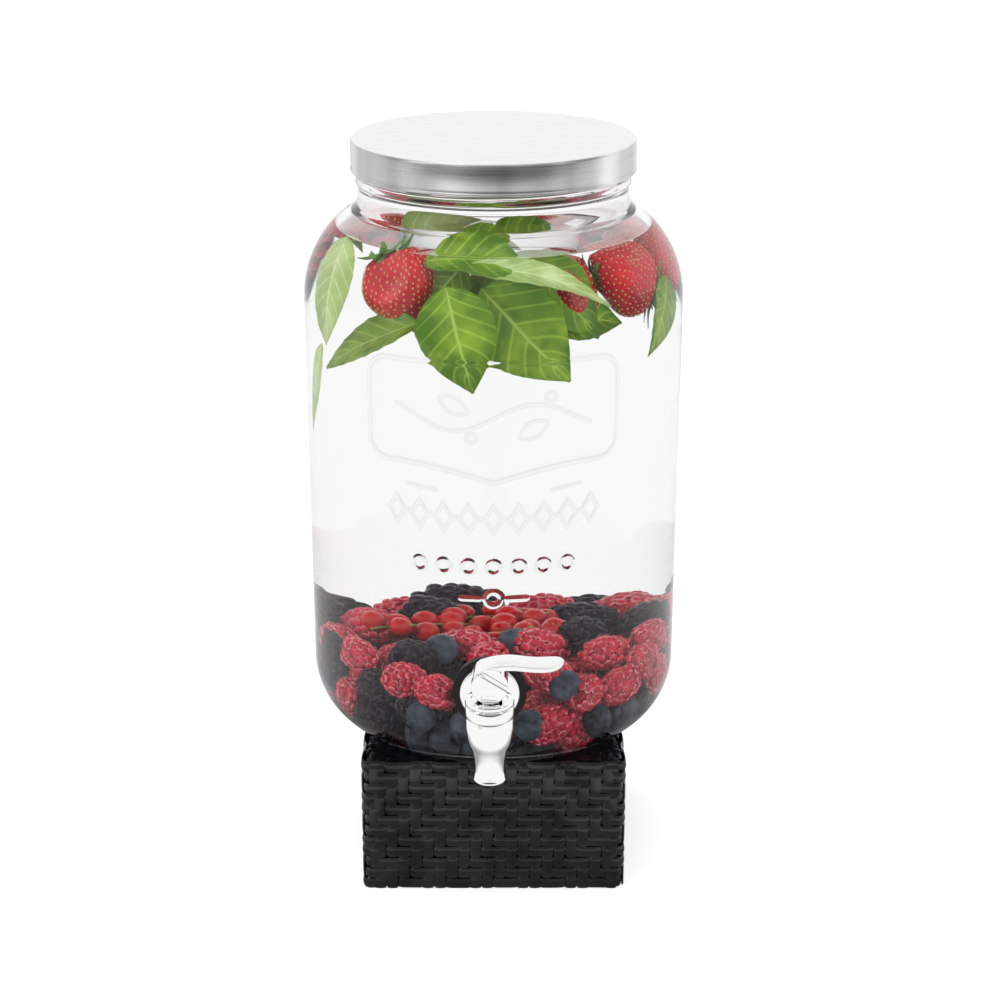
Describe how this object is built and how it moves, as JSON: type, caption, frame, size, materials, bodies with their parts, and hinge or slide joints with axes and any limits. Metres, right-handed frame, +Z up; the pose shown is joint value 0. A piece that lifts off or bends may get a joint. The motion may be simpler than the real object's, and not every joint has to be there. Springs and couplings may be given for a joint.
{
  "type": "beverage dispenser",
  "caption": "Clear glass jar drink dispenser with a steel screw lid and a chrome cam-lever tap, standing on a black woven riser box.",
  "frame": {"origin": "centre of the riser's flat base, on the jar's axis", "axes": "+Z up along the jar's axis, -Y towards the tap and the user, +X to the right seen from the front"},
  "size_m": [0.204, 0.2467, 0.4076],
  "materials": {
    "black_rattan": "semi-gloss flat poly-rattan strand",
    "black_board": "black stained board and bars",
    "clear_glass": "clear pressed glass, faintly green at its edges",
    "brushed_lid_steel": "brushed round the lid",
    "tap_chrome": "bright chrome plate",
    "stem_steel": "turned stainless steel",
    "nickel_brass": "nickel-plated brass",
    "black_rubber": "matt",
    "clear_silicone": "translucent silicone",
    "white_liner": "white liner disc"
  },
  "bodies": {
    "riser": {"front_weave": "black_rattan", "back_weave": "black_rattan", "left_weave": "black_rattan", "right_weave": "black_rattan", "top_weave": "black_rattan", "base_board": "black_board", "top_board": "black_board", "corner_post_front_left": "black_board", "corner_post_front_right": "black_board", "corner_post_back_left": "black_board", "corner_post_back_right": "black_board", "base_rail_front": "black_board", "base_rail_back": "black_board", "base_rail_left": "black_board", "base_rail_right": "black_board", "top_rail_front": "black_board", "top_rail_back": "black_board", "top_rail_left": "black_board", "top_rail_right": "black_board"},
    "jar": {"glass_jar": "clear_glass", "tap_body": "tap_chrome", "bonnet_ring": "tap_chrome", "outer_washer": "black_rubber", "inner_washer": "black_rubber", "lock_nut": "nickel_brass"},
    "lid_seal": {"lid_seal": "clear_silicone"},
    "lid_liner": {"lid_liner": "white_liner"},
    "lid_shell": {"lid_shell": "brushed_lid_steel"},
    "valve": {"valve_stem": "stem_steel", "valve_seal": "black_rubber", "lever_pin": "stem_steel"},
    "lever": {"lever": "tap_chrome"}
  },
  "joints": [
    {"name": "jar_lift", "type": "slide", "parent": "riser", "child": "jar", "axis": [0, 0, 1], "range_m": [0, 0.08]},
    {"name": "lid_lift", "type": "slide", "parent": "jar", "child": "lid_seal", "axis": [0, 0, 1], "range_m": [0, 0.06]},
    {"name": "lid_rise", "type": "slide", "parent": "lid_seal", "child": "lid_liner", "axis": [0, 0, 1], "range_m": [0, 0.0076]},
    {"name": "lid_turn", "type": "hinge", "parent": "lid_liner", "child": "lid_shell", "pos_m": [0, 0, 0.403], "axis": [0, 0, 1], "range_deg": [0, 450]},
    {"name": "stem_lift", "type": "slide", "parent": "jar", "child": "valve", "axis": [0, 0, 1], "range_m": [0, 0.0037]},
    {"name": "lever_flip", "type": "hinge", "parent": "valve", "child": "lever", "pos_m": [-0.0002, -0.132, 0.1507], "axis": [0, -1, 0], "range_deg": [0, 90]}
  ],
  "couplings": [
    {"joint": "lid_rise", "follows": "lid_turn", "m_per_rad": 0.00095493},
    {"joint": "stem_lift", "follows": "lever_flip", "m_per_rad": 0.0022918}
  ]
}
